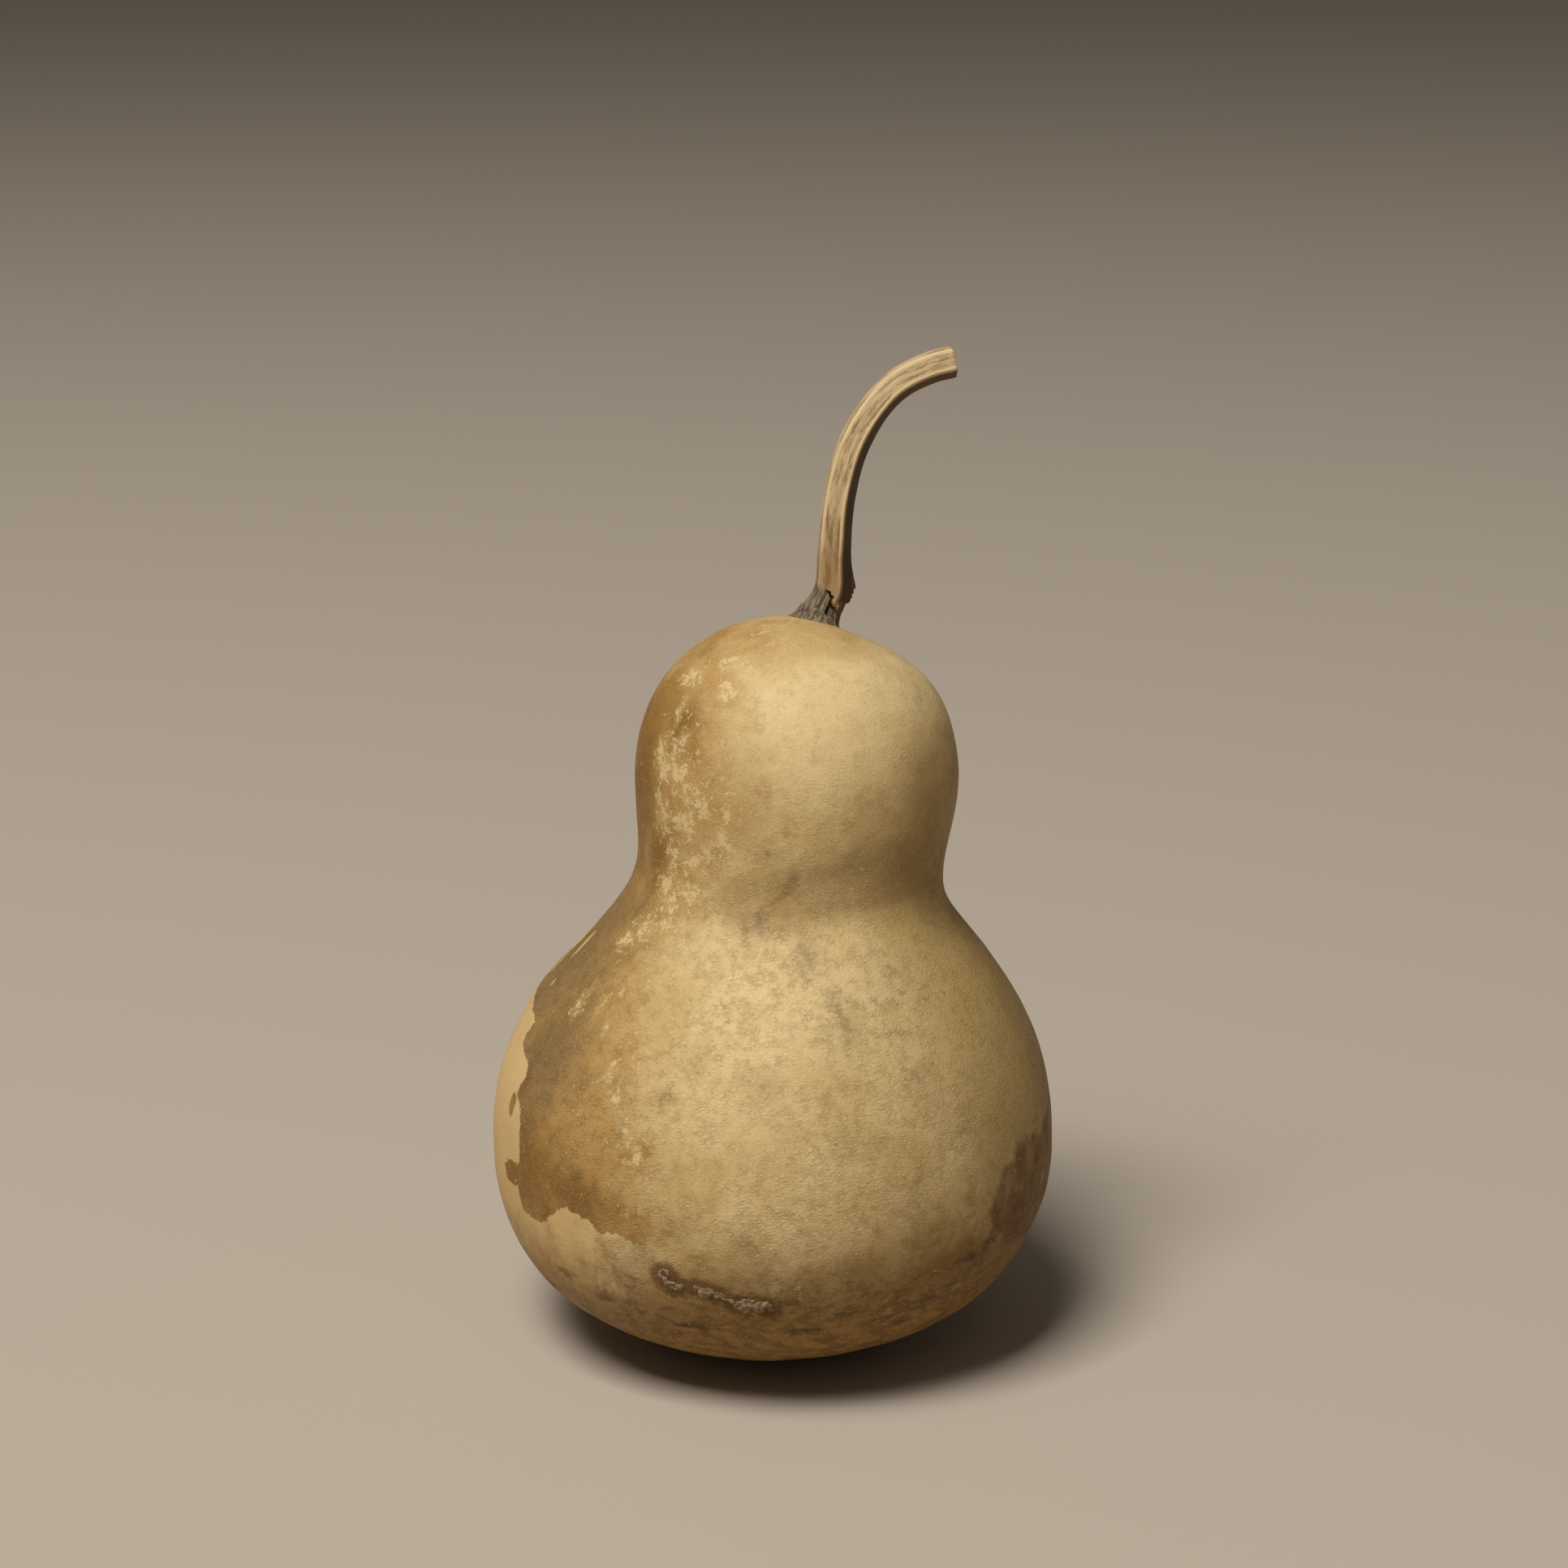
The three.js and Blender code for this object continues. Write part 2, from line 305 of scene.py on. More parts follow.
class Shader:
    """A new node material with a Principled surface."""

    def __init__(self, name):
        self.material = bpy.data.materials.new(name)
        self.material.use_nodes = True
        self.tree = self.material.node_tree
        self.surface = self.tree.nodes["Principled BSDF"]
        self.place = self.node("ShaderNodeTexCoord", output="Object")

    def node(self, kind, settings=None, inputs=None, output=0):
        node = self.tree.nodes.new(kind)
        for key, value in (settings or {}).items():
            setattr(node, key, value)
        self.fill(node, inputs or {})
        return Wire(self, node.outputs[output])

    def fill(self, node, inputs):
        for key, value in inputs.items():
            if isinstance(value, Wire):
                self.tree.links.new(value.socket, node.inputs[key])
            elif value is not None:
                node.inputs[key].default_value = value

    def finish(self, colour, roughness, shine, normal=None):
        self.fill(self.surface, {"Base Color": colour, "Roughness": roughness,
                                 "Specular IOR Level": shine, "Normal": normal})
        return self.material

    def field(self, name, output="Fac"):
        return self.node("ShaderNodeAttribute", {"attribute_name": name}, output=output)

    def stretch(self, place, along):
        inputs = {"Vector": place, "Scale": (1, 1, along)}
        return self.node("ShaderNodeMapping", inputs=inputs)

    def shift(self, place, distance, size):
        """The place moved about at random, by up to a distance, in patches of a size."""
        swirl = self.node(
            "ShaderNodeTexNoise", inputs={"Vector": place, "Scale": 1 / size}, output="Color")
        centred = self.node(
            "ShaderNodeVectorMath", {"operation": "SUBTRACT"}, {0: swirl, 1: (0.5, 0.5, 0.5)})
        return self.node(
            "ShaderNodeVectorMath", {"operation": "MULTIPLY_ADD"},
            {0: centred, 1: (2 * distance,) * 3, 2: place})

    def noise(self, size, detail=3, roughness=0.55, place=None):
        """Soft noise from about -0.5 to 0.5, in patches of a size."""
        value = self.node(
            "ShaderNodeTexNoise",
            inputs={"Vector": place or self.place, "Scale": 1 / size, "Detail": detail,
                    "Roughness": roughness})
        return value - 0.5

    def cells(self, size, place):
        """Distance to the nearest wall of a net of cells, as a share of a cell's size."""
        return self.node(
            "ShaderNodeTexVoronoi", {"feature": "DISTANCE_TO_EDGE"},
            {"Vector": place, "Scale": 1 / size}, output="Distance")

    def mix(self, share, first, second):
        """One colour turned into another by a share."""
        first, second = (c if isinstance(c, Wire) else (*c, 1) for c in (first, second))
        # Sockets 6, 7 and 2 are a Mix node's colours.
        return self.node(
            "ShaderNodeMix", {"data_type": "RGBA", "clamp_factor": True},
            {0: share, 6: first, 7: second}, output=2)

    def layer(self, colour, layers):
        """A colour with others laid over it in turn, each by its own share."""
        for share, over in layers:
            colour = self.mix(share, colour, over)
        return colour

    def bump(self, height, depth, normal=None):
        inputs = {"Height": height, "Distance": depth, "Normal": normal}
        return self.node("ShaderNodeBump", inputs=inputs)


def set_field(mesh, name, values):
    attribute = mesh.attributes.new(name, "FLOAT", "POINT")
    attribute.data.foreach_set("value", np.asarray(values, np.float32))


def vectors(items, key):
    values = np.zeros(len(items) * 3, np.float32)
    items.foreach_get(key, values)
    return values.reshape(-1, 3).astype(float)


def vertex_places(mesh):
    return vectors(mesh.vertices, "co")


def vertex_normals(mesh):
    return vectors(mesh.vertex_normals, "vector")


def move_vertices(mesh, places):
    mesh.vertices.foreach_set("co", places.astype(np.float32).ravel())
    mesh.update()


def noise_at(places, size, seed):
    """Smooth noise between -1 and 1 at each place, in lumps of a size."""
    offset = Vector((seed * 7.3, seed * 3.1, seed * 5.7))
    return np.array([noise.noise(Vector(p) / size + offset) for p in places])


def drawn_noise(places, along, size, seed):
    """Noise in lumps that are longer, up the stem, the smaller along is."""
    return noise_at(places * [1, 1, along], size, seed)


def add_object(name, data):
    item = bpy.data.objects.new(name, data)
    bpy.context.scene.collection.objects.link(item)
    return item


def mesh_from(shape, name):
    mesh = bpy.data.meshes.new(name)
    shape.to_mesh(mesh)
    shape.free()
    return mesh


def modified_mesh(item):
    """The mesh of an object with its modifiers applied."""
    mesh = bpy.data.meshes.new_from_object(
        item.evaluated_get(bpy.context.evaluated_depsgraph_get()))
    bpy.data.objects.remove(item)
    return mesh


def new_piece(name, mesh, material):
    piece = add_object(name, mesh)
    mesh.materials.clear()
    mesh.materials.append(material)
    mesh.shade_smooth()
    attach(piece, "root")
    return piece


def on_fruit(places):
    """The turn, the height and the reach from the axis of each place, in degrees and millimetres."""
    aside = places[:, 0] - FRUIT_AXIS[0]
    forward = FRUIT_AXIS[1] - places[:, 1]
    reach = np.hypot(aside, forward) / MM
    return np.degrees(np.arctan2(aside, forward)), places[:, 2] / MM, reach


def wrapped(turn):
    """A turn brought to between -180 and 180 degrees."""
    return (turn + 180) % 360 - 180


def distance_to_line(turn, height, reach, corners):
    """Millimetres to a line through (turn, height) corners, at a reach from the axis."""
    nearest = np.full(len(turn), np.inf)
    for (turn_a, height_a), (turn_b, height_b) in zip(corners, corners[1:]):
        across = np.radians(wrapped(turn - turn_a)) * reach
        up = height - height_a
        run = np.radians(turn_b - turn_a) * reach
        climb = height_b - height_a
        share = np.clip((across * run + up * climb) / (run ** 2 + climb ** 2), 0, 1)
        nearest = np.minimum(nearest, np.hypot(across - share * run, up - share * climb))
    return nearest


def distance_to_lines(where, lines):
    """Millimetres to the nearest of some lines."""
    return np.min([distance_to_line(*where, line) for line in lines], axis=0)


def depth_in_patch(turn, height, reach, corners):
    """Millimetres to the edge of a patch, above 0 inside it and below 0 outside."""
    middle = np.mean([corner[0] for corner in corners])
    turn = wrapped(turn - middle) + middle
    inside = np.zeros(len(turn), bool)
    for (turn_a, height_a), (turn_b, height_b) in zip(corners, corners[1:] + corners[:1]):
        if height_a == height_b:
            continue
        crosses = (height_a > height) != (height_b > height)
        crossing = turn_a + (height - height_a) * (turn_b - turn_a) / (height_b - height_a)
        inside ^= crosses & (turn < crossing)
    distance = distance_to_line(turn, height, reach, corners + corners[:1])
    return np.clip(np.where(inside, distance, -distance), -DEEPEST, DEEPEST)


def spots(turn, height, reach, spot_list):
    """1 in the middle of each spot, 0 on its rim and below 0 outside, down to -1."""
    value = np.full(len(turn), -1.0)
    for spot_turn, spot_height, half_width, half_height in spot_list:
        across = np.radians(wrapped(turn - spot_turn)) * reach / half_width
        up = (height - spot_height) / half_height
        value = np.maximum(value, 1 - np.hypot(across, up))
    return value


def ramp(values, start, end):
    """0 up to the start and 1 past the end, with a straight slope between."""
    return np.clip((values - start) / (end - start), 0, 1)


def step_up(values, low, high):
    """0 below low and 1 above high, with a smooth step between."""
    share = ramp(values, low, high)
    return share * share * (3 - 2 * share)


def mound(values, middle, width):
    """1 at the middle, falling to nearly 0 at twice the width to each side."""
    return np.exp(-((values - middle) / width) ** 2)


def smooth_copy(node, levels):
    """A mesh with a CAD node's surface, merged, joined into quads and subdivided."""
    shape = bmesh.new()
    shape.from_mesh(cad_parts[node].data)
    bmesh.ops.remove_doubles(shape, verts=shape.verts, dist=0.01 * MM)
    bmesh.ops.join_triangles(
        shape, faces=shape.faces, angle_face_threshold=math.radians(30),
        angle_shape_threshold=math.radians(60))
    cage = add_object(node + "_cage", mesh_from(shape, node + "_cage"))
    rounding = cage.modifiers.new("rounding", "SUBSURF")
    rounding.levels = levels
    rounding.render_levels = levels
    return modified_mesh(cage)


def skin_noises(shader):
    """The noises that the skin's patterns are made of."""
    bent = shader.shift(shader.place, 0.8 * MM, 2 * MM)
    squat = shader.stretch(bent, 2)
    return SimpleNamespace(
        broad=shader.noise(26 * MM, 3), wander=shader.noise(7 * MM, 6, 0.6),
        mottle=shader.noise(4 * MM, 6, 0.68), ragged=shader.noise(1.7 * MM, 6, 0.72),
        grain=shader.noise(0.5 * MM, 4, 0.75),
        streaks=shader.noise(5 * MM, 7, 0.72, shader.stretch(bent, 2.2)),
        folds=shader.noise(1.5 * MM, 4, 0.62, squat),
        net=shader.cells(1.35 * MM, squat).rise(0, 0.4))


def clean_skin(shader, noises, settings):
    """The colour of the clean skin, clouded, palest in spots that are partly a painted highlight, with
    painted shade down the right and under the belly.
    """
    wander, mottle = noises.wander, noises.mottle
    cloud = (noises.broad * 1.6 + mottle * 0.9 + wander * 0.7 + 0.6).rise(0.1, 0.9)
    tan = (wander * 1.4 - noises.broad + 0.5).rise(0.1, 0.9)
    # The palest spots, partly a painted highlight.
    pale = (shader.field("pale") + wander * 1.2 + mottle * 0.6).rise(-0.3, 0.9)
    fine = mottle * 2 + noises.ragged * 2
    # Painted shade down the right, and under the belly where the skin lies low.
    painted_shade_share = shader.field("painted_shade").at_least(shader.field("low") * 0.9)
    painted_shade = (painted_shade_share + wander * 0.8 + mottle * 0.4).rise(0.2, 1.1)
    return shader.layer(shader.mix(cloud, settings.olive, settings.pale_tan), [
        (tan * 0.6, settings.tan),
        (pale * 0.6, settings.pale_tan),
        (fine.rise(0.1, 0.9) * 0.35, settings.fleck),
        ((fine * -1).rise(0.1, 0.9) * 0.3, settings.olive),
        (painted_shade * 0.75, settings.painted_shade),
    ])


def stain_tone(shader, noises, settings):
    """The colour of the stained skin: ochre, and in places deeper or a dull olive."""
    wander, mottle = noises.wander, noises.mottle
    deep = (shader.field("deep") + wander * 1.1 + mottle * 0.6).rise(-0.2, 0.9)
    dull = (shader.field("dull") + wander * 1.2 + mottle * 0.7).rise(-0.4, 0.8)
    tone = shader.mix(deep, settings.stain, settings.deep_stain)
    return shader.mix(dull * 0.85, tone, settings.dull_stain)


def outer_skin(shader, noises):
    """Where the outer skin is stained, peeled or flaked, and the height of the steps it makes."""
    wander, mottle, ragged, grain = noises.wander, noises.mottle, noises.ragged, noises.grain
    depth = shader.field("stain")
    soft = (depth + noises.broad * 14 + wander * 34 + mottle * 18 + ragged * 14).rise(-11, 10)
    crisp = (depth + wander * 3.4 + ragged * 3).rise(-0.1, 0.1)
    crisp_share = shader.field("crisp")
    island = (shader.field("island") + ragged * 0.9 + wander * 0.5).rise(-0.05, 0.05)
    sliver = (shader.field("sliver") + ragged * 1.2).rise(-0.05, 0.05)
    stained = (soft + (crisp - soft) * crisp_share).at_least(island) * (1 - sliver)
    peeled = (shader.field("peeled") * (1 - stained)).at_least(sliver)

    lace = mottle * 2.4 + ragged * 7 + grain * 2
    flaked = (shader.field("fleck") + wander + lace).rise(0.1, 0.9)
    scatter = (shader.field("fringe") * 0.7 + wander * 2 + lace).rise(0.95, 1.6) * 0.75
    dust = (grain * 2 + ragged * 2).rise(0.42, 0.8) * stained * 0.4
    flecks = flaked.at_least(scatter).at_least(dust) * (1 - peeled)
    veil = (shader.field("fleck") + wander * 1.6 + mottle * 2 + ragged * 2).rise(-0.5, 0.8)
    return SimpleNamespace(
        stained=stained, peeled=peeled, flecks=flecks, veil=veil * stained,
        steps=crisp * crisp_share + island - sliver - flecks * 0.7)


def brown_layers(shader, noises, settings):
    """Browning of the crown and underside, brown and painted shade in the waist and down the right, the
    dark patch.
    """
    wander, mottle, ragged, streaks = noises.wander, noises.mottle, noises.ragged, noises.streaks
    low = shader.field("low")
    browned = (low * 1.3 + wander * 1.4 + mottle * 0.9).rise(0.1, 0.95)
    streaked = (streaks * 3.2 + ragged * 1.5 + low * 0.95).rise(0.62, 1.15)
    between_streaks = (low + streaks * -2.4).rise(0.75, 1.3)
    # Brown spots, partly the skin's own brown and partly painted shade, in the waist and down the right.
    shaded = (shader.field("shade") * 1.5 + wander * 0.9 + mottle * 0.5 + 0.3).rise(0, 1)
    depth = shader.field("patch") + wander * 6 + ragged * 2
    patched = shader.field("patched")
    patch = depth.rise(-1, 1.4) * (0.8 + wander * 1.6 + mottle * 0.8) * patched
    return [
        (shader.field("crown") * (wander * 1.4 + 0.6), settings.stain),
        (browned * 0.56, settings.bottom_brown_and_shade),
        (streaked * 0.5, settings.halo),
        (between_streaks * 0.5, settings.stain),
        (shaded * 0.36, settings.bottom_brown_and_shade),
        (patch * 0.7, settings.bottom_brown_and_shade),
        (patch * 0.35, settings.halo),
        (abs(depth).rise(1.6, 0) * patched * 0.35, settings.crust_dark),
    ]


def skin_material(settings):
    """The fruit's skin: its colours from the clean skin up, its wrinkles and its pores."""
    shader = Shader("dry_gourd_skin")
    noises = skin_noises(shader)
    outer = outer_skin(shader, noises)
    wander, mottle, ragged, grain = noises.wander, noises.mottle, noises.ragged, noises.grain

    # Short leathery wrinkles, longer across than up, that come and go.
    creases = 1 - abs(noises.folds).rise(0, 0.09)
    creases = creases * shader.noise(2.6 * MM, 2, 0.5).rise(-0.15, 0.15)
    wrinkled = shader.field("wrinkled") * (1 - outer.peeled * 0.85)
    wrinkled = wrinkled * (noises.broad * 1.4 + wander + 0.8)
    # Painted shade in the wrinkles' creases and along the walls of their net.
    crease_shade = creases * 0.19 + (1 - noises.net) * 0.1

    bruised = (shader.field("bruise") + mottle * 2 + ragged * 2).rise(-0.3, 1.5)
    mottled = (shader.field("mottle") + ragged * 2.2 + noises.streaks * 1.2).rise(-0.2, 0.7)
    specked = (shader.field("speck") + ragged * 2).rise(-0.2, 0.9)
    lined = (shader.field("line") + mottle * 2 + ragged * 3 + noises.folds).rise(0, 1.1)
    halo = (shader.field("halo") + ragged * 2.4 + mottle * 1.2).rise(-0.2, 1)
    colour = shader.layer(clean_skin(shader, noises, settings), [
        (outer.peeled * 0.7, settings.peeled),
        (outer.stained * 0.9, stain_tone(shader, noises, settings)),
        *brown_layers(shader, noises, settings),
        (bruised * 0.3, settings.bruise),
        (mottled * 0.55, settings.crust_dark),
        (outer.veil * 0.45, settings.tan),
        (outer.flecks * 0.75, settings.fleck),
        (specked.at_least(lined * 0.7) * 0.42, settings.crust_dark),
        (crease_shade * (wrinkled + bruised * 0.6), settings.bruise),
        ((grain * 1.6).rise(0.02, 0.4) * 0.36, settings.fleck),
        ((grain * -1.6).rise(0.02, 0.4) * 0.36, settings.bruise),
        (halo * 0.7, settings.halo),
    ])
    height = (noises.net * 0.6 - creases) * wrinkled + mottle * 0.5 + ragged * 0.5 + grain * 0.25
    normal = shader.bump(height, settings.wrinkle_depth)
    normal = shader.bump(outer.steps, PEEL_STEP, normal)
    roughness = 0.53 + mottle * 0.25 + outer.flecks * 0.15 + creases * 0.1
    return shader.finish(colour, roughness, 0.15, normal)


class GOURD_OT_fruit(bpy.types.Operator):
    """Makes the fruit from its CAD node, with soft dents and a blotched, wrinkled skin"""

    bl_idname = "gourd.fruit"
    bl_label = "Fruit"

    SMOOTHING = 3
    REGAIN = 0.3 * MM  # what the smoothing takes off all round
    DENTS = [(1, 24 * MM, 1), (0.35, 8 * MM, 2), (0.12, 3.2 * MM, 3)]  # depth's share, size, seed
    LINE_REACH = 1.8  # millimetres to each side of a dark line
    HALO_REACH = 3  # millimetres round a scab's line
    HALO_FADE = 1.8

    def execute(self, context):
        settings = context.scene.gourd_fruit
        mesh = smooth_copy("gourd_body", self.SMOOTHING)
        self.shape(mesh, settings)
        self.map_skin(mesh)
        fruit = new_piece("fruit", mesh, skin_material(settings))
        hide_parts("gourd_body")
        return {"FINISHED"}

    def shape(self, mesh, settings):
        """Gives the skin its broad dents and small pits, and keeps its flat spot flat."""
        places = vertex_places(mesh)
        lift = np.full(len(places), self.REGAIN)
        for share, size, seed in self.DENTS:
            lift += share * settings.dent_depth * noise_at(places, size, seed)
        places += vertex_normals(mesh) * lift[:, None]
        places[:, 2] = np.maximum(places[:, 2], 0)
        move_vertices(mesh, places)

    def map_skin(self, mesh):
        """Marks where each kind of skin lies, for the material."""
        where = on_fruit(vertex_places(mesh))
        fields = {name: spots(*where, spot_list) for name, spot_list in SPOT_FIELDS.items()}
        fields |= self.edge_fields(where) | self.broad_fields(where) | self.line_fields(where)
        for name, values in fields.items():
            set_field(mesh, name, values)

    def edge_fields(self, where):
        """The depths in the stain and in the dark patch, and what lies along the stain's edges."""
        turn, height, _ = where
        outline = [*STAIN_SOFT_EDGE, STAIN_LOW_CORNER, *STAIN_CRISP_EDGE, *STAIN_BACK_EDGE]
        to_soft = distance_to_line(*where, STAIN_SOFT_EDGE)
        to_crisp = distance_to_line(*where, STAIN_CRISP_EDGE)
        left = ramp(turn, -30, -44) * ramp(turn, -165, -135)
        return {
            "stain": depth_in_patch(*where, outline),
            "crisp": ramp(to_soft - to_crisp, -4, 4) * step_up(turn, -126, -102),
            "peeled": left * ramp(height, 84, 74) * ramp(height, 14, 30),
            "fringe": ramp(to_soft, 16, 0),
            "patch": depth_in_patch(*where, DARK_PATCH),
            "patched": 1 - step_up(turn, 66, 96),
        }

    def broad_fields(self, where):
        """How low, how deep in the painted shade, how wrinkled and how near the crown each place is."""
        turn, height, _ = where
        # The top of the skin's own browning under the belly, set higher on the right, away from the
        # light, and lower on the lit left as painted shade.
        brown_and_shade_top = 3 * np.sin(np.radians(turn)) - 7 * step_up(-turn, 15, 50)
        right = step_up(turn, -5, 60) * (1 - step_up(turn, 100, 150))
        return {
            "low": step_up(brown_and_shade_top - height, -56, -14),
            # Painted shade down the right, away from the light, less of it on the bulb.
            "painted_shade": right * (1 - 0.6 * step_up(height, 90, 120)),
            "wrinkled": np.maximum(ramp(height, 165, 85), 0.4),
            "crown": 0.6 * step_up(height, 147, 153),
        }

    def line_fields(self, where):
        """How near the dark lines and the scabs are."""
        to_dark = distance_to_lines(where, DARK_LINES)
        to_scab = distance_to_lines(where, [[corner[:2] for corner in line] for line in SCAB_BEADS])
        halo = np.clip((self.HALO_REACH - to_scab) / self.HALO_FADE, -1, 1)
        return {
            "line": np.clip(1 - to_dark / self.LINE_REACH, -1, 1),
            "halo": np.maximum(halo, spots(*where, SCAB_TRAILS)),
        }


def smooth_line(points, steps):
    """Points along a centripetal Catmull-Rom curve, with a number of steps to each span."""
    points = np.array(points, float)
    points = np.vstack([2 * points[0] - points[1], points, 2 * points[-1] - points[-2]])
    spans = np.linalg.norm(np.diff(points, axis=0), axis=1) ** 0.5
    knots = np.concatenate([[0], np.cumsum(spans)])
    pieces = []
    for first in range(len(points) - 3):
        knot = knots[first:first + 4]
        place = np.linspace(knot[1], knot[2], steps + 1)[:-1, None]
        level = list(points[first:first + 4])
        for start, reach in ((0, 1), (0, 2), (1, 1)):
            ends = [(knot[i], knot[i + reach]) for i in range(start, start + len(level) - 1)]
            level = [((stop - place) * before + (place - begin) * after) / (stop - begin)
                     for (begin, stop), before, after in zip(ends, level, level[1:])]
        pieces.append(level[0])
    return np.vstack([*pieces, points[-2:-1]])


def skin_tree():
    """The fruit's surface, for finding places on it."""
    fruit = bpy.data.objects["fruit"].data
    faces = [tuple(face.vertices) for face in fruit.polygons]
    return BVHTree.FromPolygons(vertex_places(fruit).tolist(), faces)


def place_on_skin(skin, turn, height):
    """The place and the outward direction of the skin at a turn and a height."""
    outward = Vector((math.sin(math.radians(turn)), -math.cos(math.radians(turn)), 0))
    place, normal, _, _ = skin.ray_cast(Vector((*FRUIT_AXIS, height * MM)), outward)
    return place, normal


def crust_material(settings):
    shader = Shader("corky_scab")
    lumps = shader.noise(0.7 * MM, 5, 0.7)
    grain = shader.noise(0.22 * MM, 4, 0.7)
    # Painted shade in the pits and where the crust lies low, and a painted highlight on the lumps' tops.
    pit_shade = (shader.field("hollow") + lumps * 2 + grain * 1.4).rise(0.6, 1.5)
    pale = (lumps * 2.4 + grain * 1.4 + 0.5).rise(0.2, 0.8)
    colour = shader.layer(settings.crust_brown, [(pale, settings.crust), (pit_shade, settings.crust_dark)])
    normal = shader.bump(lumps + grain, 0.18 * MM)
    return shader.finish(colour, 0.8, 0.25, normal)


class GOURD_OT_scabs(bpy.types.Operator):
    """Makes the row of corky scabs low on the front of the fruit"""

    bl_idname = "gourd.scabs"
    bl_label = "Scabs"

    SEED = 5
    STEP = 0.4  # millimetres between rows of beads
    DEGREE = 0.9  # millimetres round the fruit in a degree, where the scabs are
    BEAD_RADIUS = (0.3, 0.65)  # millimetres
    BEAD_HEIGHT = (0.4, 0.85)  # shares of the crust's height
    BLOB_HEIGHT = 1.4
    VOXEL = 0.1 * MM
    ROUGHNESS = [(0.1 * MM, 0.8 * MM, 21), (0.05 * MM, 0.3 * MM, 22)]  # depth, size, seed
    # The crust darkens with painted shade below this share of its height.
    PIT_HEIGHT = 0.45  # share of the crust's height, below which it darkens

    def execute(self, context):
        settings = context.scene.gourd_fruit
        chance = random.Random(self.SEED)
        skin = skin_tree()
        shape = bmesh.new()
        crust = settings.crust_height / MM
        for line in SCAB_BEADS:
            for turn, height, half_width in self.rows(line):
                for _ in range(1 + round(half_width * 2)):
                    aside = chance.uniform(-1, 1) * half_width
                    radius = chance.uniform(*self.BEAD_RADIUS)
                    tall = crust * chance.uniform(*self.BEAD_HEIGHT)
                    self.add_lump(shape, skin, (turn, height + aside), radius, tall, chance)
        for turn, height, radius in SCAB_BLOBS:
            self.add_lump(shape, skin, (turn, height), radius, crust * self.BLOB_HEIGHT, chance)
        mesh = self.fuse(shape)
        self.crumble(mesh, skin, settings)
        new_piece("scabs", mesh, crust_material(settings))
        return {"FINISHED"}

    def rows(self, line):
        """Evenly spaced places along a scab's line."""
        line = np.array(line, float)
        run = np.hypot(np.diff(line[:, 0]) * self.DEGREE, np.diff(line[:, 1]))
        along = np.concatenate([[0], np.cumsum(run)])
        places = np.arange(0, along[-1], self.STEP)
        return np.stack([np.interp(places, along, part) for part in line.T], axis=1)

    def add_lump(self, shape, skin, where, radius, tall, chance):
        """A flattened ball, whose middle is on the skin."""
        place, normal = place_on_skin(skin, *where)
        size = Matrix.Diagonal((radius * MM, radius * MM * chance.uniform(0.65, 1), tall * MM, 1))
        face_out = normal.to_track_quat("Z", "Y").to_matrix().to_4x4()
        spin = Matrix.Rotation(chance.uniform(0, math.tau), 4, "Z")
        bmesh.ops.create_icosphere(
            shape, subdivisions=3, radius=1,
            matrix=Matrix.Translation(place) @ face_out @ spin @ size)

    def fuse(self, shape):
        """The lumps as one closed surface."""
        lumps = add_object("scab_lumps", mesh_from(shape, "scab_lumps"))
        fusing = lumps.modifiers.new("fusing", "REMESH")
        fusing.mode = "VOXEL"
        fusing.voxel_size = self.VOXEL
        return modified_mesh(lumps)

    def crumble(self, mesh, skin, settings):
        """Roughens the crust, and marks how low each part of it lies, for the painted shade there."""
        places = vertex_places(mesh)
        rough = sum(depth * noise_at(places, size, seed) for depth, size, seed in self.ROUGHNESS)
        places += vertex_normals(mesh) * rough[:, None]
        move_vertices(mesh, places)
        raised = np.array([skin.find_nearest(Vector(place))[3] for place in places])
        set_field(mesh, "hollow", ramp(raised, self.PIT_HEIGHT * settings.crust_height, 0))


def bend_to_centre_line(straight):
    """Carries places in the straight gourd, in millimetres, to places round its centre line."""
    line = smooth_line(CENTRE_LINE, LINE_STEPS)
    along = np.concatenate([[0], np.cumsum(np.linalg.norm(np.diff(line, axis=0), axis=1))])
    forward = np.gradient(line, along, axis=0)
    middle, heading = (
        np.stack([np.interp(straight[:, 2], along, part) for part in parts.T], axis=1)
        for parts in (line, forward))
    sideways = np.cross([0, 1, 0], heading)
    sideways /= np.linalg.norm(sideways, axis=1)[:, None]
    heading /= np.linalg.norm(heading, axis=1)[:, None]
    backwards = np.cross(heading, sideways)
    return middle + straight[:, :1] * sideways + straight[:, 1:2] * backwards


